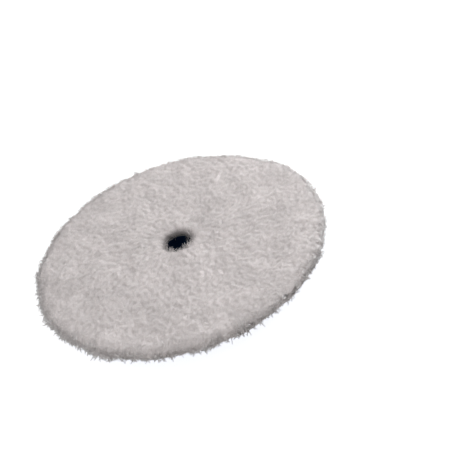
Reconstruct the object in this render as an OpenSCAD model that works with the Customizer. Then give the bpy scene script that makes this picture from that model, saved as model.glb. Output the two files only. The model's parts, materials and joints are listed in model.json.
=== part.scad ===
// Microfibre polishing pad, lying on its loop face with the pile up.
// The origin is the centre of the loop face, and +Z runs along the pad's axis.
// Every layer is bonded flat to the next one, from the loop face upwards.

/* [Loop backing] */
// Diameter of the loop disc, which matches the backing plate
loop_d = 125; // [100:1:180]
// Height of the brushed loops
loop_pile_t = 1.0; // [0.6:0.1:2]
// Thickness of the knitted cloth that carries the loops
loop_cloth_t = 0.4; // [0.3:0.1:1]
// Thickness of the hot-melt film between the loop cloth and the foam
loop_film_t = 0.2; // [0.1:0.05:0.4]

/* [Foam core] */
// Thickness of the foam
foam_t = 8.0; // [6:0.5:25]
// How far the foam flares out past the loop disc
foam_flare = 7; // [3:0.5:12]
// Height of the upright band between the foam's slope and its top
foam_band_h = 1.6; // [0.8:0.1:3]
// Radius that rounds the foam between its slope and its band
foam_shoulder_r = 3.0; // [1:0.5:4]

/* [Microfibre face] */
// Thickness of the hot-melt film between the foam and the cloth
face_film_t = 0.2; // [0.1:0.05:0.4]
// Thickness of the knitted cloth that carries the pile
face_cloth_t = 0.6; // [0.4:0.1:1]
// How far the cloth reaches past the foam
cloth_lip = 1.5; // [0.5:0.5:4]
// Height of the pile above its cloth
face_pile_t = 4.6; // [3:0.1:8]
// How far the pile stands out past the edge of its cloth
pile_reach = 4; // [2:0.5:8]
// How far the pile at the rim hangs below its cloth
pile_hang = 0.2; // [0:0.1:1]

/* [Centring hole] */
// Diameter of the punched hole through every layer
hole_d = 14; // [8:0.5:25]

/* [Printed rings] */
// Distance from the edge of the hole to the inner dashed ring
ring_hole_gap = 18; // [6:1:20]
// Distance from the edge of the loop disc to the outer dashed ring
ring_edge_gap = 17.5; // [4:0.5:20]
// Width of a printed line
ring_w = 1.2; // [0.6:0.1:2]
// Depth of the ink in the loops
ink_t = 0.2; // [0.1:0.05:0.4]
// Number of dashes in each ring
ring_dashes = 12; // [6:1:24]
// Angle of the gap between two dashes
dash_gap = 9; // [4:1:12]

/* [Hidden] */
$fn = 96;
bite = 0.01;  // how far a cutting shape reaches past what it cuts
wedge_reach = 1.2;  // length of a dash-parting wedge, in radii of its ring
shoulder_share = 0.9;  // most of the band's height that the shoulder may take up

// Radii, from the hole outwards
hole_r = hole_d / 2;
loop_r = loop_d / 2;
foam_r = loop_r + foam_flare;
cloth_r = foam_r + cloth_lip;
pile_r = cloth_r + pile_reach;

// Heights of the bond lines, from the loop face upwards
loop_cloth_z = loop_pile_t;
loop_film_z = loop_cloth_z + loop_cloth_t;
foam_z = loop_film_z + loop_film_t;
face_film_z = foam_z + foam_t;
face_cloth_z = face_film_z + face_film_t;
face_pile_z = face_cloth_z + face_cloth_t;
top_z = face_pile_z + face_pile_t;

// The pile's rim is half round, from its hanging edge up to its top
rim_z = face_cloth_z - pile_hang;
rim_h = top_z - rim_z;
rim_round = min(rim_h / 2, pile_reach - bite);
rim_steps = 8;

// The foam's outline
slope_h = foam_t - foam_band_h;
slope = atan2(slope_h, foam_flare);
turn = (90 - slope) / 2;
shoulder_r = min(foam_shoulder_r, shoulder_share * foam_band_h / tan(turn));
shoulder_steps = 8;

// A flat layer with the punched hole
module layer(r, z, t) {
    rotate_extrude() translate([hole_r, z]) square([r - hole_r, t]);
}

// The wedge that parts two dashes
module dash_cut(reach) {
    half = reach * tan(dash_gap / 2);
    polygon([[0, 0], [reach, -half], [reach, half]]);
}

// Outline of one ring of dashes
module dashed_ring(mean_r) {
    outer_r = mean_r + ring_w / 2;
    difference() {
        circle(r = outer_r);
        circle(r = outer_r - ring_w);
        for (i = [0 : ring_dashes - 1])
            rotate(i * 360 / ring_dashes) dash_cut(outer_r * wedge_reach);
    }
}

// The ink of both rings, and of the cut that makes room for it
module ink(below) {
    translate([0, 0, -below]) linear_extrude(ink_t + below) {
        dashed_ring(hole_r + ring_hole_gap);
        dashed_ring(loop_r - ring_edge_gap);
    }
}

// Slope from the loop disc, rounded shoulder, upright band
module foam_profile() {
    centre = [foam_r - shoulder_r, slope_h + shoulder_r * tan(turn)];
    shoulder = [for (i = [0 : shoulder_steps])
        let (a = (slope - 90) * (1 - i / shoulder_steps))
        centre + shoulder_r * [cos(a), sin(a)]];
    polygon(concat(
        [[hole_r, 0], [loop_r, 0]], shoulder, [[foam_r, foam_t], [hole_r, foam_t]]
    ));
}

// The pile over its cloth and round the cloth's edge, with a round rim
module pile_profile() {
    flat_r = pile_r - rim_round;
    low = [for (i = [0 : rim_steps])
        let (a = -90 * (1 - i / rim_steps))
        [flat_r, rim_z + rim_round] + rim_round * [cos(a), sin(a)]];
    high = [for (i = [1 : rim_steps])
        let (a = 90 * i / rim_steps)
        [flat_r, top_z - rim_round] + rim_round * [cos(a), sin(a)]];
    polygon(concat(
        [[hole_r, face_pile_z], [cloth_r, face_pile_z], [cloth_r, rim_z]],
        low, high, [[hole_r, top_z]]
    ));
}

module loop_pile() {
    color("whitesmoke") difference() {
        layer(loop_r, 0, loop_pile_t);
        ink(bite);
    }
}

module loop_cloth() {
    color("gainsboro") layer(loop_r, loop_cloth_z, loop_cloth_t);
}

module loop_film() {
    color("silver") layer(loop_r, loop_film_z, loop_film_t);
}

module foam_core() {
    color("royalblue") translate([0, 0, foam_z]) rotate_extrude() foam_profile();
}

module face_film() {
    color("silver") layer(foam_r, face_film_z, face_film_t);
}

module face_cloth() {
    color("gainsboro") layer(cloth_r, face_cloth_z, face_cloth_t);
}

module face_pile() {
    color("white") rotate_extrude() pile_profile();
}

module printed_rings() {
    color("dimgray") ink(0);
}

loop_pile();
loop_cloth();
loop_film();
foam_core();
face_film();
face_cloth();
face_pile();
printed_rings();
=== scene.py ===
import json
import math
import random

import bmesh
import bpy
from bpy.props import FloatProperty, FloatVectorProperty, IntProperty, PointerProperty
from mathutils import Matrix, Vector, noise

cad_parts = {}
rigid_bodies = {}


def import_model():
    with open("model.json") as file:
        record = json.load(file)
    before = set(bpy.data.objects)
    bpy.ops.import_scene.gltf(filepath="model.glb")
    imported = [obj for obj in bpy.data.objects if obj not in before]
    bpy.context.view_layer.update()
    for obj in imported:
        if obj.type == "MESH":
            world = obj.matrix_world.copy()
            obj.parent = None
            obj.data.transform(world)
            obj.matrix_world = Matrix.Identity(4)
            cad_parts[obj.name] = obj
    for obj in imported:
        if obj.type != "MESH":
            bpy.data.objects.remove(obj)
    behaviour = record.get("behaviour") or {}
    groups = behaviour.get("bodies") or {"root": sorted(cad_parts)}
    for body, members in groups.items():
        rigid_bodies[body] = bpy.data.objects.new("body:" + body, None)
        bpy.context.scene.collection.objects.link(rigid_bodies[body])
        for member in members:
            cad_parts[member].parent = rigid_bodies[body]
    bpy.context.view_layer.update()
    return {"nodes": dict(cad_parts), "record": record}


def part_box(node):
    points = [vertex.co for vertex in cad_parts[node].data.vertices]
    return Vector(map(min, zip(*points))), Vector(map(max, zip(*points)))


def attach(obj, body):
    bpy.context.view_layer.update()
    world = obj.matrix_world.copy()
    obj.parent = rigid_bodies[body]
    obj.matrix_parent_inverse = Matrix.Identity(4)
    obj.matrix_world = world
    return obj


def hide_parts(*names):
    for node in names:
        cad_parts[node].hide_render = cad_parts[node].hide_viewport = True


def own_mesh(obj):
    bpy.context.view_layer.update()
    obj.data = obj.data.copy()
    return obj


bl_info = {
    "name": "Microfibre Polishing Pad",
    "version": (1, 0, 0),
    "blender": (4, 5, 0),
    "location": "View3D > Sidebar > Polishing Pad",
    "description": "Builds a microfibre polishing pad on its packed frame",
    "category": "Add Mesh",
}

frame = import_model()

MM = 0.001
BACKING, FACE = "backing_side", "face_side"

# Steps of a full turn for the bed of the pile, for the foam and for the plain layers
PILE_STEPS, FOAM_STEPS, PLAIN_STEPS = 500, 900, 360
# Different tufts in a set
VARIANTS = 10
# Patches of nap in a metre
PATCHES = 95.0
# How deep a tuft's root sits in its bed
ROOT_DEPTH = 0.3 * MM

# Sizes that come from the frame
PILE_LOW, PILE_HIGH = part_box("face_pile")
CLOTH_LOW, CLOTH_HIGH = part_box("face_cloth")
FOAM_LOW, FOAM_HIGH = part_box("foam_core")
LOOP_LOW, LOOP_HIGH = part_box("loop_pile")
LOOP_CLOTH_LOW, LOOP_CLOTH_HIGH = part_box("loop_cloth")
PILE_R, CLOTH_R, FOAM_R, LOOP_R = (c.x for c in (PILE_HIGH, CLOTH_HIGH, FOAM_HIGH, LOOP_HIGH))
HOLE_R = MM * next(
    m["dims"]["r_mm"] for m in frame["record"]["mounts"] if m["name"] == "centre_hole")
FOAM_T = FOAM_HIGH.z - FOAM_LOW.z


# ---------------------------------------------------------------- sizes and colours

class PadSettings(bpy.types.PropertyGroup):
    """Sizes and colours of the pad's finishes."""

    tuft_spacing: FloatProperty(
        name="Tuft spacing", description="Least distance between two tufts of the pile",
        default=1.13 * MM, min=0.6 * MM, max=4 * MM, unit="LENGTH", precision=5)
    tuft_length: FloatProperty(
        name="Tuft length", description="Length of a tuft's strands on the face",
        default=1.35 * MM, min=0.8 * MM, max=6 * MM, unit="LENGTH", precision=5)
    strand_radius: FloatProperty(
        name="Strand radius", description="Radius of a strand at its root",
        default=0.1 * MM, min=0.05 * MM, max=0.5 * MM, unit="LENGTH", precision=5)
    strands: IntProperty(
        name="Strands", description="Strands in one tuft", default=8, min=3, max=14)
    fringe_length: FloatProperty(
        name="Fringe length", description="Length of the loose strands at the rim",
        default=2.5 * MM, min=1 * MM, max=9 * MM, unit="LENGTH", precision=5)
    nap_lean: FloatProperty(
        name="Nap lean", description="How far patches of the pile lean over together",
        default=0.4, min=0, max=2, subtype="FACTOR")
    pile_colour: FloatVectorProperty(
        name="Pile", description="Colour of the microfibre pile",
        default=(0.87, 0.822, 0.815), min=0, max=1, subtype="COLOR")
    loop_colour: FloatVectorProperty(
        name="Loops", description="Colour of the brushed loop backing",
        default=(0.75, 0.74, 0.735), min=0, max=1, subtype="COLOR")
    foam_colour: FloatVectorProperty(
        name="Foam", description="Colour of the foam core",
        default=(0.0, 0.19, 0.74), min=0, max=1, subtype="COLOR")
    ink_colour: FloatVectorProperty(
        name="Ink", description="Colour of the printed rings",
        default=(0.025, 0.025, 0.028), min=0, max=1, subtype="COLOR")
    seed: IntProperty(name="Seed", description="Changes the lie of the pile", default=7, min=0)


def settings():
    """The sizes and colours that the sidebar shows."""
    return bpy.context.scene.polishing_pad


# ---------------------------------------------------------------- mesh helpers

def link(name, mesh):
    """A new object at the origin that shows the mesh."""
    piece = bpy.data.objects.new(name, mesh)
    bpy.context.scene.collection.objects.link(piece)
    return piece


def mesh_from(bm, name):
    """Turns a bmesh into a smooth mesh and frees it."""
    mesh = bpy.data.meshes.new(name)
    for face in bm.faces:
        face.smooth = True
    bm.to_mesh(mesh)
    bm.free()
    return mesh


def spun(outline, steps):
    """A closed ring: the outline, a list of (radius, height), turned about the pad's axis."""
    bm = bmesh.new()
    verts = [bm.verts.new((r, 0, z)) for r, z in outline]
    for pair in zip(verts, verts[1:] + verts[:1]):
        bm.edges.new(pair)
    profile = link("profile", mesh_from(bm, "profile"))
    screw = profile.modifiers.new("Turn", "SCREW")
    screw.angle = 2 * math.pi
    screw.steps = screw.render_steps = steps
    bm = bmesh.new()
    bm.from_object(profile, bpy.context.evaluated_depsgraph_get())
    bpy.data.objects.remove(profile)
    if bm.calc_volume(signed=True) < 0:
        bmesh.ops.reverse_faces(bm, faces=bm.faces)
    return bm


def arc(centre_r, centre_z, radius, start, end, steps):
    """Points of an arc in an outline, with angles in degrees from the outward direction."""
    angles = [math.radians(start + (end - start) * i / steps) for i in range(steps + 1)]
    return [(centre_r + radius * math.cos(a), centre_z + radius * math.sin(a)) for a in angles]


def run(start, end, step):
    """Points of a straight stretch of an outline, without its end."""
    (r0, z0), (r1, z1) = start, end
    count = max(1, round(math.hypot(r1 - r0, z1 - z0) / step))
    return [(r0 + (r1 - r0) * i / count, z0 + (z1 - z0) * i / count) for i in range(count)]


def widened(points, fixed_r, times):
    """Points of an outline, with their distances from a radius multiplied."""
    return [(fixed_r + (r - fixed_r) * times, z) for r, z in points]


def ruffle(bm, amount, scale, seed):
    """Moves each point along its normal by smooth noise."""
    shift = Vector((3.1, 1.7, 0.9)) * seed
    bm.normal_update()
    moves = [v.normal * amount * noise.noise(v.co / scale + shift) for v in bm.verts]
    for vert, move in zip(bm.verts, moves):
        vert.co += move


# ---------------------------------------------------------------- node helpers

def add(tree, kind, values=(), **options):
    """A node, with its inputs given as values or as the sockets that feed them."""
    made = tree.nodes.new(kind)
    for key, value in options.items():
        setattr(made, key, value)
    for key, value in dict(values).items():
        if isinstance(value, bpy.types.NodeSocket):
            tree.links.new(value, made.inputs[key])
        else:
            made.inputs[key].default_value = value
    return made


def math_node(tree, operation, a, b=0.0, c=0.0):
    """The result of a sum on values."""
    return add(tree, "ShaderNodeMath", {0: a, 1: b, 2: c}, operation=operation).outputs[0]


def vector_node(tree, operation, a, b=(0, 0, 0)):
    """The vector that comes out of a sum on vectors."""
    return add(tree, "ShaderNodeVectorMath", {0: a, 1: b}, operation=operation).outputs[0]


def scaled(tree, vector, amount):
    """The vector times a value."""
    made = add(tree, "ShaderNodeVectorMath", {0: vector, "Scale": amount}, operation="SCALE")
    return made.outputs[0]


# ---------------------------------------------------------------- shader node groups

def group(name, inputs, outputs):
    """A shader node group with named sockets; returns its tree, its inputs and its output node."""
    tree = bpy.data.node_groups.new(name, "ShaderNodeTree")
    for label, kind, value in inputs:
        socket = tree.interface.new_socket(label, in_out="INPUT", socket_type="NodeSocket" + kind)
        if value is not None:
            socket.default_value = value
    for label, kind in outputs:
        tree.interface.new_socket(label, in_out="OUTPUT", socket_type="NodeSocket" + kind)
    return tree, tree.nodes.new("NodeGroupInput").outputs, tree.nodes.new("NodeGroupOutput")


def fibre_tone_group():
    """Colour of undyed fibre: patches where the nap lies another way, and single tufts."""
    tree, given, out = group(
        "Fibre tone",
        [("Vector", "Vector", None), ("Colour", "Color", None), ("Patch size", "Float", 0.008),
         ("Tuft size", "Float", 0.0013), ("Patch shade", "Float", 0.06),
         ("Tuft shade", "Float", 0.12)],
        [("Colour", "Color")])
    patch = add(tree, "ShaderNodeTexNoise", {
        "Vector": given["Vector"], "Detail": 2.0,
        "Scale": math_node(tree, "DIVIDE", 1.0, given["Patch size"])})
    tuft = add(tree, "ShaderNodeTexNoise", {
        "Vector": given["Vector"], "Detail": 3.0,
        "Scale": math_node(tree, "DIVIDE", 1.0, given["Tuft size"])})
    light = 1.0
    for texture, shade in ((patch, "Patch shade"), (tuft, "Tuft shade")):
        swing = math_node(tree, "MULTIPLY_ADD", texture.outputs["Fac"], 2.0, -1.0)
        light = math_node(tree, "MULTIPLY_ADD", swing, given[shade], light)
    tone = add(tree, "ShaderNodeHueSaturation", {"Color": given["Colour"], "Value": light})
    tree.links.new(tone.outputs["Color"], out.inputs["Colour"])
    return tree


def nap_group():
    """Height of brushed fibre ends."""
    tree, given, out = group(
        "Brushed nap", [("Vector", "Vector", None), ("Fibre size", "Float", 0.0004)],
        [("Height", "Float")])
    scale = math_node(tree, "DIVIDE", 1.0, given["Fibre size"])
    fibres = add(tree, "ShaderNodeTexNoise", {
        "Vector": given["Vector"], "Scale": scale, "Detail": 4.0, "Roughness": 0.65,
        "Distortion": 0.6})
    tree.links.new(fibres.outputs["Fac"], out.inputs["Height"])
    return tree


def knit_group():
    """Height of a plain knit, with raised and sunk stitches the pitch apart."""
    tree, given, out = group(
        "Plain knit", [("Vector", "Vector", None), ("Pitch", "Float", 0.0008)],
        [("Height", "Float")])
    half_band = 0.16  # from a raised band to a sunk one where the wave's scale is 1
    scale = math_node(tree, "DIVIDE", half_band, given["Pitch"])
    bands = [
        add(tree, "ShaderNodeTexWave", {
            "Vector": given["Vector"], "Scale": scale, "Distortion": 0.8,
            "Detail": 1.0}, bands_direction=way).outputs["Fac"]
        for way in ("X", "Y")]
    stitch = math_node(tree, "MULTIPLY", *bands)
    tree.links.new(stitch, out.inputs["Height"])
    return tree


def foam_group():
    """Open cells: a mask of the pores and the height of the walls between them."""
    tree, given, out = group(
        "Foam cells", [("Vector", "Vector", None), ("Cell size", "Float", 0.0006)],
        [("Pore", "Float"), ("Height", "Float")])
    finer, shallower = 2.3, 0.4  # the small cells' size and depth beside the large ones
    coarse = add(tree, "ShaderNodeTexVoronoi", {
        "Vector": given["Vector"], "Scale": math_node(tree, "DIVIDE", 1.0, given["Cell size"])})
    fine = add(tree, "ShaderNodeTexVoronoi", {
        "Vector": given["Vector"], "Scale": math_node(tree, "DIVIDE", finer, given["Cell size"])})
    walls = math_node(
        tree, "MULTIPLY_ADD", fine.outputs["Distance"], shallower, coarse.outputs["Distance"])
    pore = add(tree, "ShaderNodeMapRange", {
        "Value": walls, "From Min": 0.75, "From Max": 0.3, "To Min": 0.0, "To Max": 1.0})
    tree.links.new(pore.outputs["Result"], out.inputs["Pore"])
    tree.links.new(walls, out.inputs["Height"])
    return tree


def bore_group():
    """Mask of what lies round the pad's axis: 1 within the radius, fading out over the fade."""
    tree, given, out = group(
        "Round the axis", [("Vector", "Vector", None), ("Radius", "Float", 0.007),
                           ("Fade", "Float", 0.001)],
        [("Mask", "Float")])
    distance = add(tree, "ShaderNodeVectorMath", {
        0: vector_node(tree, "MULTIPLY", given["Vector"], (1, 1, 0))}, operation="LENGTH")
    faded = add(tree, "ShaderNodeMapRange", {
        "Value": distance.outputs["Value"], "From Min": given["Radius"],
        "From Max": math_node(tree, "ADD", given["Radius"], given["Fade"]),
        "To Min": 1.0, "To Max": 0.0})
    tree.links.new(faded.outputs["Result"], out.inputs["Mask"])
    return tree


GROUP_MAKERS = {
    "Fibre tone": fibre_tone_group, "Brushed nap": nap_group, "Plain knit": knit_group,
    "Foam cells": foam_group, "Round the axis": bore_group}
GROUPS = {}


def placed(tree, name, **values):
    """A shader group's node in a material; the group is built the first time that it is used."""
    if name not in GROUPS:
        GROUPS[name] = GROUP_MAKERS[name]()
    node = tree.nodes.new("ShaderNodeGroup")
    node.node_tree = GROUPS[name]
    for key, value in values.items():
        socket = node.inputs[key.replace("_", " ")]
        if isinstance(value, bpy.types.NodeSocket):
            tree.links.new(value, socket)
        else:
            socket.default_value = value
    return node.outputs


def material(name, roughness=0.9, sheen=0.0, specular=0.3):
    """A new material: its tree, its shader, and the place of the shaded point."""
    made = bpy.data.materials.new(name)
    made.use_nodes = True
    tree = made.node_tree
    shader = tree.nodes["Principled BSDF"]
    shader.inputs["Roughness"].default_value = roughness
    shader.inputs["Sheen Weight"].default_value = sheen
    shader.inputs["Specular IOR Level"].default_value = specular
    where = add(tree, "ShaderNodeTexCoord").outputs["Object"]
    return made, tree, shader, where


def bumped(tree, shader, height, distance, strength=1.0):
    """Lets a height move the shader's normal."""
    bump = add(tree, "ShaderNodeBump", {
        "Height": height, "Distance": distance, "Strength": strength})
    tree.links.new(bump.outputs["Normal"], shader.inputs["Normal"])


def painted_hole_shade(tree, where, colour, fade, change):
    """The colour with painted shade round the pad's axis, where the punched hole gets little
    light.
    """
    bore = placed(
        tree, "Round the axis", Vector=where, Radius=HOLE_R + 0.5 * MM, Fade=fade)
    value = math_node(tree, "MULTIPLY_ADD", bore["Mask"], change, 1.0)
    return add(tree, "ShaderNodeHueSaturation", {"Color": colour, "Value": value}).outputs[0]


def pile_material(name, colour, tuft_shade, through=0.0):
    """Microfibre that lets a share of the light through, with painted shade that gets darker down
    the hole's wall.
    """
    made, tree, shader, where = material(name, roughness=0.95, sheen=0.1, specular=0.1)
    shader.inputs["Subsurface Weight"].default_value = through
    shader.inputs["Subsurface Radius"].default_value = (1, 1, 1)
    shader.inputs["Subsurface Scale"].default_value = 1 * MM
    tone = placed(
        tree, "Fibre tone", Vector=where, Colour=(*colour, 1), Patch_size=0.014,
        Tuft_size=0.0014, Patch_shade=0.19, Tuft_shade=tuft_shade)
    # Painted shade down the hole's wall: round the axis, the pile gets darker from below the crown
    # down to the cloth
    hole_wall_shade = add(tree, "ShaderNodeMapRange", {
        "Value": add(tree, "ShaderNodeSeparateXYZ", {"Vector": where}).outputs["Z"],
        "From Min": PILE_HIGH.z - 1.2 * MM, "From Max": CLOTH_HIGH.z + 0.5 * MM,
        "To Min": 0.0, "To Max": -0.68}).outputs["Result"]
    tree.links.new(
        painted_hole_shade(tree, where, tone["Colour"], 3 * MM, hole_wall_shade),
        shader.inputs["Base Color"])
    return made


def loop_material():
    """Brushed nylon loops."""
    made, tree, shader, where = material("Brushed loops", roughness=0.9, sheen=0.3, specular=0.2)
    tone = placed(
        tree, "Fibre tone", Vector=where, Colour=(*settings().loop_colour, 1),
        Patch_size=0.012, Tuft_size=0.0007, Patch_shade=0.04, Tuft_shade=0.07)
    tree.links.new(tone["Colour"], shader.inputs["Base Color"])
    nap = placed(tree, "Brushed nap", Vector=where, Fibre_size=0.0003)
    bumped(tree, shader, nap["Height"], 0.00018, 0.8)
    return made


def knit_material(name, colour, pitch):
    """Undyed knitted cloth."""
    made, tree, shader, where = material(name, roughness=0.85, sheen=0.1, specular=0.2)
    tone = placed(
        tree, "Fibre tone", Vector=where, Colour=(*colour, 1), Patch_size=0.01,
        Tuft_size=0.0006, Patch_shade=0.04, Tuft_shade=0.1)
    # Painted shade round the punched hole
    tree.links.new(
        painted_hole_shade(tree, where, tone["Colour"], 1 * MM, -0.85),
        shader.inputs["Base Color"])
    knit = placed(tree, "Plain knit", Vector=where, Pitch=pitch)
    bumped(tree, shader, knit["Height"], 0.0002)
    return made


def film_material():
    """Milky hot-melt film."""
    made, tree, shader, where = material("Hot-melt film", roughness=0.45, specular=0.4)
    tone = placed(
        tree, "Fibre tone", Vector=where, Colour=(0.55, 0.57, 0.6, 1), Patch_size=0.006,
        Tuft_size=0.001, Patch_shade=0.06, Tuft_shade=0.06)
    # Painted shade round the punched hole
    tree.links.new(
        painted_hole_shade(tree, where, tone["Colour"], 1 * MM, -0.85),
        shader.inputs["Base Color"])
    return made


def foam_material():
    """Open-cell foam, with painted shade in its dark pores and paler cut walls between them."""
    made, tree, shader, where = material("Open-cell foam", roughness=0.9, specular=0.03)
    cells = placed(tree, "Foam cells", Vector=where, Cell_size=0.00062)
    colour = Vector(settings().foam_colour)
    # Painted shade in the pores: they fade to half the foam's colour, and the walls between them
    # are 1.12 times the foam's colour
    ramp = add(tree, "ShaderNodeValToRGB", {"Fac": cells["Pore"]})
    ramp.color_ramp.elements[0].color = (*(colour * 1.12), 1)
    ramp.color_ramp.elements[0].position = 0.15
    ramp.color_ramp.elements[1].color = (*(colour * 0.5), 1)
    tone = placed(
        tree, "Fibre tone", Vector=where, Colour=ramp.outputs["Color"], Patch_size=0.015,
        Tuft_size=0.0025, Patch_shade=0.05, Tuft_shade=0.08)
    # Painted shade on the hole's wall, nearly black
    tree.links.new(
        painted_hole_shade(tree, where, tone["Colour"], 1 * MM, -0.97),
        shader.inputs["Base Color"])
    bumped(tree, shader, cells["Height"], 0.0003, 0.9)
    return made


def ink_material():
    """Screen-print ink that sits unevenly on the loops."""
    made, tree, shader, where = material("Print ink", roughness=0.7, specular=0.3)
    tone = placed(
        tree, "Fibre tone", Vector=where, Colour=(*settings().ink_colour, 1),
        Patch_size=0.004, Tuft_size=0.0005, Patch_shade=0.3, Tuft_shade=0.5)
    tree.links.new(tone["Colour"], shader.inputs["Base Color"])
    nap = placed(tree, "Brushed nap", Vector=where, Fibre_size=0.0003)
    bumped(tree, shader, nap["Height"], 0.00015, 0.8)
    return made


def finish(piece, look, body, slot, *nodes):
    """Gives a piece its material and its body, and hides the CAD nodes that it stands for. The
    slot is not used.
    """
    piece.data.materials.clear()
    piece.data.materials.append(look)
    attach(piece, body)
    if nodes:
        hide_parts(*nodes)


# ---------------------------------------------------------------- tufts

def strand(rng, length, radius, tip, fan, curl):
    """One thin strand. Its tip is a share of its radius, it leans away from its root by up to
    the fan, and it bends over by about the curl, both in radians."""
    bm = bmesh.new()
    reach = length * rng.uniform(0.7, 1.15)
    bmesh.ops.create_cone(
        bm, cap_ends=True, segments=3, radius1=radius, radius2=radius * tip, depth=reach,
        matrix=Matrix.Translation((0, 0, reach / 2)))
    sides = [e for e in bm.edges if abs(e.verts[0].co.z - e.verts[1].co.z) > reach / 2]
    bmesh.ops.subdivide_edges(bm, edges=sides, cuts=1)
    fullness = 1.7 - tip  # rounds the strand's middle to suit its tip
    for v in bm.verts:
        if abs(v.co.z - reach / 2) < reach / 4:
            v.co.xy *= fullness
    bend = curl * rng.uniform(0.5, 1.5)
    arc_r = reach / bend
    for v in bm.verts:
        a = bend * v.co.z / reach
        v.co = (arc_r * (1 - math.cos(a)) + v.co.x * math.cos(a), v.co.y,
                (arc_r - v.co.x) * math.sin(a))
    lean = Matrix.Rotation(rng.uniform(-0.2, 1) * fan, 4, "Y")
    turn = Matrix.Rotation(rng.uniform(0, 2 * math.pi), 4, "Z")
    spread = 3  # of the roots in a tuft, in strand radii
    root = Matrix.Translation((
        rng.uniform(-1, 1) * radius * spread, rng.uniform(-1, 1) * radius * spread, -ROOT_DEPTH))
    bmesh.ops.transform(bm, matrix=root @ turn @ lean, verts=bm.verts)
    return mesh_from(bm, "strand")


def tuft_set(name, strands, *shape):
    """A collection of different tufts, for scattering, with strands of the given shape."""
    rng = random.Random(settings().seed)
    tufts = bpy.data.collections.new(name)
    for i in range(VARIANTS):
        bm = bmesh.new()
        for _ in range(strands):
            one = strand(rng, *shape)
            bm.from_mesh(one)
            bpy.data.meshes.remove(one)
        tufts.objects.link(bpy.data.objects.new(f"{name}_{i}", mesh_from(bm, f"{name}_{i}")))
    return tufts


def random_node(tree, kind, low, high, seed):
    """A random value for each tuft, from the sockets that the node keeps for each kind."""
    socket_low, socket_high, out = {"FLOAT_VECTOR": (0, 1, 0), "FLOAT": (2, 3, 1)}[kind]
    made = add(tree, "FunctionNodeRandomValue",
               {socket_low: low, socket_high: high, "Seed": seed}, data_type=kind)
    return made.outputs[out]


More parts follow.
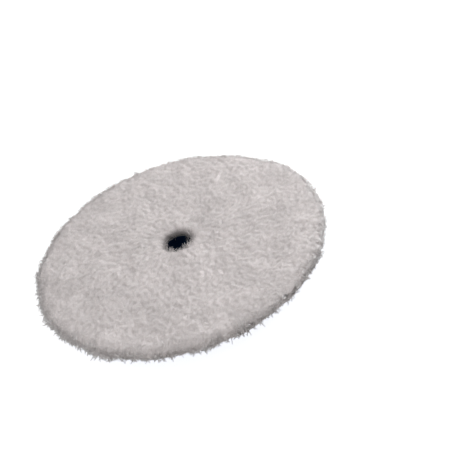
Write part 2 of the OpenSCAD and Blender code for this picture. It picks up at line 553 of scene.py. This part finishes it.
def scatter_tree(tufts, spacing, clump, lie, seed, part=0, parts=1):
    """Nodes that plant tufts all over a bed, or over one part of its turn. The lie says how far
    they lean in patches and in clumps, pull together in clumps, stray, droop and differ in
    length from clump to clump, and how softly they are shaded."""
    tree = bpy.data.node_groups.new("Plant tufts", "GeometryNodeTree")
    tree.interface.new_socket("Bed", in_out="INPUT", socket_type="NodeSocketGeometry")
    tree.interface.new_socket("Pile", in_out="OUTPUT", socket_type="NodeSocketGeometry")
    bed = tree.nodes.new("NodeGroupInput").outputs[0]
    place = add(tree, "GeometryNodeInputPosition").outputs[0]
    crowding = 6  # tries per square of the spacing, so that the spacing alone sets the tufts
    spots = add(tree, "GeometryNodeDistributePointsOnFaces", {
        "Mesh": bed, "Distance Min": spacing, "Density Max": crowding / spacing ** 2,
        "Seed": seed}, distribute_method="POISSON")

    def swing(colour, amount):
        return scaled(tree, vector_node(tree, "SUBTRACT", colour, (0.5, 0.5, 0.5)), 2 * amount)

    patch = add(tree, "ShaderNodeTexNoise", {"Vector": place, "Scale": PATCHES, "Detail": 2.0})
    cell = add(tree, "ShaderNodeTexVoronoi", {"Vector": place, "Scale": 1 / clump})
    inwards = vector_node(tree, "SUBTRACT", cell.outputs["Position"], place)
    way = spots.outputs["Normal"]
    steep = math_node(tree, "SUBTRACT", 1.0, add(
        tree, "ShaderNodeSeparateXYZ", {"Vector": way}).outputs["Z"])
    for push in (
            swing(patch.outputs["Color"], lie["lean"]),
            swing(cell.outputs["Color"], lie["clump_lean"]),
            scaled(tree, inwards, lie["pull"] / clump),
            random_node(tree, "FLOAT_VECTOR", (-lie["stray"],) * 3, (lie["stray"],) * 3, seed + 1),
            scaled(tree, (0, 0, -lie["droop"]), steep)):
        way = vector_node(tree, "ADD", way, push)
    aligned = add(tree, "FunctionNodeAlignRotationToVector", {"Vector": way}, axis="Z")
    twist = add(tree, "FunctionNodeAxisAngleToRotation", {
        "Axis": (0, 0, 1), "Angle": random_node(tree, "FLOAT", 0, 2 * math.pi, seed + 2)})
    turned = add(tree, "FunctionNodeRotateRotation", {
        "Rotation": aligned.outputs[0], "Rotate By": twist.outputs[0]}, rotation_space="LOCAL")
    tall = add(tree, "ShaderNodeSeparateXYZ", {
        "Vector": swing(cell.outputs["Color"], lie["uneven"])}).outputs["X"]
    size = math_node(tree, "ADD", tall, random_node(tree, "FLOAT", 0.8, 1.2, seed + 3))

    # The part's own share of the turn about the axis
    xyz = add(tree, "ShaderNodeSeparateXYZ", {"Vector": place}).outputs
    turn = math_node(tree, "ARCTAN2", xyz["Y"], xyz["X"])
    share = math_node(tree, "MULTIPLY_ADD", turn, parts / (2 * math.pi), parts / 2)
    mine = math_node(tree, "COMPARE", math_node(tree, "FLOOR", share), float(part), 0.5)

    picked = add(tree, "GeometryNodeCollectionInfo", {
        "Collection": tufts, "Separate Children": True, "Reset Children": True})
    planted = add(tree, "GeometryNodeInstanceOnPoints", {
        "Points": spots.outputs["Points"], "Selection": mine, "Instance": picked.outputs[0],
        "Pick Instance": True, "Rotation": turned.outputs[0], "Scale": size})
    real = add(tree, "GeometryNodeRealizeInstances", {"Geometry": planted.outputs[0]})
    smooth = add(tree, "GeometryNodeSetShadeSmooth", {"Geometry": real.outputs[0]})

    # Fine fibres scatter light, so a strand is shaded partly as the bed under it
    own_way = add(tree, "GeometryNodeInputNormal").outputs[0]
    soft = vector_node(tree, "ADD", own_way, scaled(tree, spots.outputs["Normal"], lie["soft"]))
    shaded = add(tree, "GeometryNodeSetMeshNormal", {
        "Mesh": smooth.outputs[0], "Custom Normal": vector_node(tree, "NORMALIZE", soft)},
        mode="FREE", domain="POINT")

    # A map that looks straight down on the pad, so that one colour runs across neighbours
    map_width = 2.4 * PILE_R
    flat = scaled(tree, place, 1 / map_width)
    flat = vector_node(tree, "ADD", flat, (0.5, 0.5, 0))
    mapped = add(tree, "GeometryNodeStoreNamedAttribute", {
        "Geometry": shaded.outputs[0], "Name": "OFBake", "Value": flat},
        data_type="FLOAT2", domain="CORNER")
    out = tree.nodes.new("NodeGroupOutput")
    tree.links.new(mapped.outputs[0], out.inputs[0])
    return tree


def planted(name, bed, tree):
    """The tufts that the nodes plant on the bed, as a mesh piece of their own."""
    planter = bed.modifiers.new("Plant", "NODES")
    planter.node_group = tree
    graph = bpy.context.evaluated_depsgraph_get()
    mesh = bpy.data.meshes.new_from_object(
        bed.evaluated_get(graph), preserve_all_data_layers=True, depsgraph=graph)
    mesh.name = name
    bed.modifiers.remove(planter)
    bpy.data.node_groups.remove(tree)
    return link(name, mesh)


# ---------------------------------------------------------------- operators

class PadOperator:
    """What the pad's operators share."""

    bl_options = {"REGISTER", "UNDO"}


class PAD_OT_camera(PadOperator, bpy.types.Operator):
    """Place the camera beside the pad, looking down on its pile"""

    bl_idname = "polishing_pad.camera"
    bl_label = "Place Camera"

    def execute(self, context):
        middle = Vector((0, 0, (PILE_LOW.z + PILE_HIGH.z) / 2))
        place = middle + Vector((0, -278.4, 215.5)) * MM
        aim = middle + Vector((25.1, -1.2, 0)) * MM
        roll = math.radians(-17.2)
        lens = bpy.data.cameras.new("Camera")
        lens.lens = 55.8
        lens.clip_start = 0.01
        camera = bpy.data.objects.new("Camera", lens)
        look = (aim - place).to_track_quat("-Z", "Y").to_matrix().to_4x4()
        camera.matrix_world = (
            Matrix.Translation(place) @ look @ Matrix.Rotation(roll, 4, "Z"))
        context.scene.collection.objects.link(camera)
        context.scene.camera = camera
        return {"FINISHED"}


def softbox(name, place, size, power, colour=(1, 1, 1)):
    """A square area light that faces the pad."""
    lamp = bpy.data.lights.new(name, "AREA")
    lamp.shape = "SQUARE"
    lamp.size = size
    lamp.energy = power
    lamp.color = colour
    light = bpy.data.objects.new(name, lamp)
    light.location = place
    light.rotation_euler = (-Vector(place)).to_track_quat("-Z", "Y").to_euler()
    bpy.context.scene.collection.objects.link(light)


class PAD_OT_stage(PadOperator, bpy.types.Operator):
    """Lay a plain white floor and set soft studio light"""

    bl_idname = "polishing_pad.stage"
    bl_label = "Lay Floor and Lights"

    def execute(self, context):
        studio_r = 6
        bm = bmesh.new()
        bmesh.ops.create_circle(bm, cap_ends=True, segments=64, radius=studio_r)
        floor = link("floor", mesh_from(bm, "floor"))
        bm = bmesh.new()
        bmesh.ops.create_uvsphere(bm, u_segments=64, v_segments=32, radius=studio_r)
        backdrop = link("backdrop", mesh_from(bm, "backdrop"))
        paper, tree, shader, where = material("White paper", roughness=0.9, specular=0.1)
        grain = placed(
            tree, "Fibre tone", Vector=where, Colour=(0.4, 0.4, 0.4, 1), Patch_size=0.4,
            Tuft_size=0.05, Patch_shade=0.004, Tuft_shade=0.004)
        tree.links.new(grain["Colour"], shader.inputs["Base Color"])
        shader.inputs["Emission Color"].default_value = (1, 1, 1, 1)
        shader.inputs["Emission Strength"].default_value = 0.88
        for sheet in (floor, backdrop):
            sheet.data.materials.append(paper)
            sheet.visible_diffuse = False
        backdrop.visible_shadow = False

        world = bpy.data.worlds.new("Studio")
        world.use_nodes = True
        sky = world.node_tree.nodes["Background"].inputs
        sky["Color"].default_value = (1, 1, 1, 1)
        sky["Strength"].default_value = 0.41
        context.scene.world = world
        softbox("overhead", (0, 0.2, 1.5), 2.5, 2.6)
        softbox("key", (0.45, 0.15, 0.3), 0.35, 1.8)
        softbox("fill", (-0.5, -0.7, 0.3), 0.8, 2.4, (1, 0.95, 0.93))
        softbox("back", (0.4, 0.65, 0.25), 0.6, 2.4)
        context.scene.view_settings.view_transform = "Standard"
        return {"FINISHED"}


class PAD_OT_pile(PadOperator, bpy.types.Operator):
    """Grow the microfibre pile over the face and round the rim"""

    bl_idname = "polishing_pad.pile"
    bl_label = "Grow Pile"

    def execute(self, context):
        wanted = settings()
        colour = Vector(wanted.pile_colour)

        # The bed's outline: up the hole's wall, over the crown, down the rim and back under
        crown = PILE_HIGH.z - 1.3 * MM
        foot = PILE_LOW.z + 0.2 * MM
        wall_r = PILE_R - 1.6 * MM
        inner_r = HOLE_R + 0.3 * MM
        lip_r, lip_spread = 3.2 * MM, 1.4
        top_r, top_spread = 3.0 * MM, 1.9
        foot_r = 1.0 * MM
        lip = (
            run((inner_r, CLOTH_HIGH.z), (inner_r, crown - lip_r), 0.9 * MM)
            + widened(arc(inner_r + lip_r, crown - lip_r, lip_r, 180, 90, 5),
                      inner_r, lip_spread))
        rim = (
            widened(arc(wall_r - top_r, crown - top_r, top_r, 90, 0, 7), wall_r, top_spread)
            + arc(wall_r - foot_r, foot + foot_r, foot_r, 0, -90, 3))
        outline = lip + run(lip[-1], rim[0], 0.8 * MM)[1:] + rim + [(CLOTH_R, CLOTH_HIGH.z)]
        bm = spun(outline, PILE_STEPS)

        # The bed's ruffles: height and width in millimetres, and a change of seed
        waves = ((1.0, 44, 2), (0.8, 14, 1), (0.3, 6, 3), (0.65, 1.9, 0))
        for amount, scale, change in waves:
            ruffle(bm, amount * MM, scale * MM, wanted.seed + change)
        bed = link("pile_bed", mesh_from(bm, "pile_bed"))

        # Each set's strands: count, length, radius, tip, fan and curl
        radius, fringe = wanted.strand_radius, wanted.fringe_length
        tufts = tuft_set("tuft", wanted.strands, wanted.tuft_length, radius, 0, 0.7, 1.3)
        loose = tuft_set("loose_tuft", 6, fringe, radius * 1.6, 0.8, 0.5, 1.6)
        fuzz = tuft_set("fuzz_tuft", 3, fringe * 1.2, radius * 0.5, 0, 0.9, 1.1)
        hung = tuft_set("hung_tuft", 6, fringe * 1.1, radius * 1.1, 0.4, 0.5, 0.9)
        face_lie = {"lean": wanted.nap_lean, "clump_lean": 0.3, "pull": 0.6, "stray": 0.3,
                    "droop": 0.3, "uneven": 0.16, "soft": 0.75}
        parts = 12
        grown = [
            planted(f"pile_part_{i + 1}", bed, scatter_tree(
                tufts, wanted.tuft_spacing, 1.7 * MM, face_lie, wanted.seed, i, parts))
            for i in range(parts)]

        # Loose locks and thin fuzz stand out of the rim, and other locks hang into the hole.
        # Each is planted on a strip of the outline that is closed off inside the bed.
        rim_strip = rim + [(wall_r - 4 * MM, foot + 2 * MM)]
        lower_lip = lip[:-3]
        lip_strip = lower_lip + [(inner_r + 2 * MM, CLOTH_HIGH.z)]
        for name, strip, low_r, high_r, kind, spacing, lie in (
                ("pile_fringe", rim_strip, wall_r - 1.6 * MM, PILE_R, loose, 0.85,
                 {"lean": 0.4, "clump_lean": 0.4, "pull": 0.6, "stray": 0.25, "droop": 0.25,
                  "uneven": 0.4, "soft": 0.7}),
                ("pile_fuzz", rim_strip, wall_r - 4 * MM, PILE_R, fuzz, 1.1,
                 {"lean": 0.4, "clump_lean": 0.2, "pull": 0.2, "stray": 0.6, "droop": 0.0,
                  "uneven": 0.5, "soft": 1.0}),
                ("pile_hole_fringe", lip_strip, 0, inner_r + 2.2 * MM, hung, 0.85,
                 {"lean": 0.3, "clump_lean": 0.4, "pull": 1.0, "stray": 0.2, "droop": 1.5,
                  "uneven": 0.5, "soft": 0.3})):
            bm = spun(strip, PILE_STEPS)
            bare = [f for f in bm.faces
                    if not low_r <= f.calc_center_median().xy.length <= high_r]
            bmesh.ops.delete(bm, geom=bare, context="FACES")
            for amount, scale, change in waves[:2]:
                ruffle(bm, amount * MM, scale * MM, wanted.seed + change)
            band = link("band", mesh_from(bm, "band"))
            grown.append(planted(name, band, scatter_tree(
                kind, wanted.tuft_spacing * spacing, 2.6 * MM, lie, wanted.seed + 9)))
            bpy.data.objects.remove(band)
        for collection in (tufts, loose, fuzz, hung):
            for tuft in list(collection.objects):
                bpy.data.objects.remove(tuft)
            bpy.data.collections.remove(collection)

        # The bed is 0.85 as light as the tips: painted shade between the tufts
        finish(bed, pile_material("Pile roots", colour * 0.85, 0.1), FACE, "microfibre_pile",
               "face_pile")
        tips = pile_material("Pile tips", colour, 0.2)
        glow = pile_material("Loose fibres", (0.85, 0.78, 0.765), 0.2, 1.0)
        for piece in grown:
            stands_out = piece.name in ("pile_fringe", "pile_fuzz")
            finish(piece, glow if stands_out else tips, FACE, "microfibre_pile")
        return {"FINISHED"}


class PAD_OT_cloth(PadOperator, bpy.types.Operator):
    """Lay the pile's knitted cloth and finish both films"""

    bl_idname = "polishing_pad.cloth"
    bl_label = "Lay Pile Cloth"

    def execute(self, context):
        low, high = CLOTH_LOW.z, CLOTH_HIGH.z
        outline = (
            run((HOLE_R, high), (HOLE_R, low), 0.3 * MM)
            + run((HOLE_R, low), (FOAM_R - 1 * MM, low), 8 * MM)
            + run((FOAM_R - 1 * MM, low), (CLOTH_R, low), 0.5 * MM)
            + run((CLOTH_R, low), (CLOTH_R, high), 0.3 * MM)
            + run((CLOTH_R, high), (HOLE_R, high), 8 * MM))
        bm = spun(outline, PLAIN_STEPS)
        cloth = link("pile_cloth", mesh_from(bm, "pile_cloth"))
        finish(cloth, knit_material("Pile knit", (0.68, 0.665, 0.655), 0.0009), FACE,
               "pile_knit", "face_cloth")
        film = film_material()
        for name in ("face_film", "loop_film"):
            frame["nodes"][name].data.materials.clear()
            frame["nodes"][name].data.materials.append(film)
        return {"FINISHED"}


class PAD_OT_foam(PadOperator, bpy.types.Operator):
    """Cut the blue foam core with its flared edge"""

    bl_idname = "polishing_pad.foam"
    bl_label = "Cut Foam"

    def execute(self, context):
        fine, coarse = 0.45 * MM, 9 * MM
        band_h = 1.6 * MM
        shoulder = 2.2 * MM
        low, high = FOAM_LOW.z, FOAM_HIGH.z
        rise = FOAM_T - band_h
        slope = math.atan2(rise, FOAM_R - LOOP_R)
        turn = (math.pi / 2 - slope) / 2
        centre = (FOAM_R - shoulder, low + rise + shoulder * math.tan(turn))
        rounded = arc(*centre, shoulder, math.degrees(slope) - 90, 0, 6)
        outline = (
            run((HOLE_R, high), (HOLE_R, low), 0.8 * MM)
            + run((HOLE_R, low), (LOOP_R - 2 * MM, low), coarse)
            + [(LOOP_R - 2 * MM, low)]
            + run((LOOP_R, low), rounded[0], fine)
            + rounded
            + run(rounded[-1], (FOAM_R, high), fine)[1:]
            + run((FOAM_R, high), (HOLE_R, high), coarse))
        bm = spun(outline, FOAM_STEPS)

        # The cut slope is rough with cells and a little wavy, and the bonded faces stay flat
        shift = Vector((5, 9, 2))
        bm.normal_update()
        moves = []
        for v in bm.verts:
            cut = v.co.xy.length > LOOP_R - 0.5 * MM and low < v.co.z < high - 0.01 * MM
            cell = noise.noise(v.co / (0.6 * MM) + shift) * 0.09 * MM
            wave = noise.noise(v.co / (16 * MM) + shift) * 0.35 * MM
            moves.append(v.normal * (cell + wave) if cut else Vector())
        for v, move in zip(bm.verts, moves):
            v.co += move
        foam = link("foam_disc", mesh_from(bm, "foam_disc"))
        finish(foam, foam_material(), BACKING, "blue_foam", "foam_core")
        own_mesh(foam)
        return {"FINISHED"}


class PAD_OT_loops(PadOperator, bpy.types.Operator):
    """Lay the brushed loop backing and its cloth"""

    bl_idname = "polishing_pad.loops"
    bl_label = "Lay Loop Backing"

    def execute(self, context):
        low, high = LOOP_LOW.z + 0.03 * MM, LOOP_HIGH.z
        round_r = 0.55 * MM
        outline = (
            run((HOLE_R, high), (HOLE_R, low + round_r), 0.3 * MM)
            + arc(HOLE_R + round_r, low + round_r, round_r, 180, 270, 4)
            + run((HOLE_R + round_r, low), (LOOP_R - round_r, low), 1.1 * MM)[1:]
            + arc(LOOP_R - round_r, low + round_r, round_r, -90, 0, 4)
            + [(LOOP_R, high)])
        bm = spun(outline, PLAIN_STEPS)
        velour = link("loop_velour", mesh_from(bm, "loop_velour"))
        finish(velour, loop_material(), BACKING, "brushed_loop", "loop_pile")

        low, high = LOOP_CLOTH_LOW.z, LOOP_CLOTH_HIGH.z
        edge_r = LOOP_R - 0.1 * MM
        outline = (
            [(HOLE_R, high), (HOLE_R, low)]
            + [(edge_r, low), (edge_r, (low + high) / 2), (edge_r, high)])
        cloth = link("loop_knit", mesh_from(spun(outline, PLAIN_STEPS), "loop_knit"))
        finish(cloth, knit_material("Loop knit", (0.72, 0.71, 0.7), 0.0006), BACKING,
               "loop_knit", "loop_cloth")
        return {"FINISHED"}


class PAD_OT_print(PadOperator, bpy.types.Operator):
    """Print the centring rings on the loop face"""

    bl_idname = "polishing_pad.print_rings"
    bl_label = "Print Rings"

    def execute(self, context):
        rings = frame["nodes"]["printed_rings"].data
        rings.materials.clear()
        rings.materials.append(ink_material())
        return {"FINISHED"}


class PAD_PT_sidebar(bpy.types.Panel):
    """The pad's settings and its pieces, in the order in which they are made"""

    bl_idname = "PAD_PT_sidebar"
    bl_label = "Polishing Pad"
    bl_space_type = "VIEW_3D"
    bl_region_type = "UI"
    bl_category = "Polishing Pad"

    def draw(self, context):
        for name in PadSettings.__annotations__:
            self.layout.prop(context.scene.polishing_pad, name)
        for operator in OPERATORS:
            self.layout.operator(operator.bl_idname)


OPERATORS = (
    PAD_OT_camera, PAD_OT_stage, PAD_OT_pile, PAD_OT_cloth, PAD_OT_foam, PAD_OT_loops,
    PAD_OT_print)
CLASSES = (PadSettings, *OPERATORS, PAD_PT_sidebar)


def register():
    for cls in CLASSES:
        bpy.utils.register_class(cls)
    bpy.types.Scene.polishing_pad = PointerProperty(type=PadSettings)


def unregister():
    del bpy.types.Scene.polishing_pad
    for cls in reversed(CLASSES):
        bpy.utils.unregister_class(cls)


def main():
    register()
    for operator in OPERATORS:
        family, name = operator.bl_idname.split(".")
        getattr(getattr(bpy.ops, family), name)()


if __name__ == "__main__":
    main()
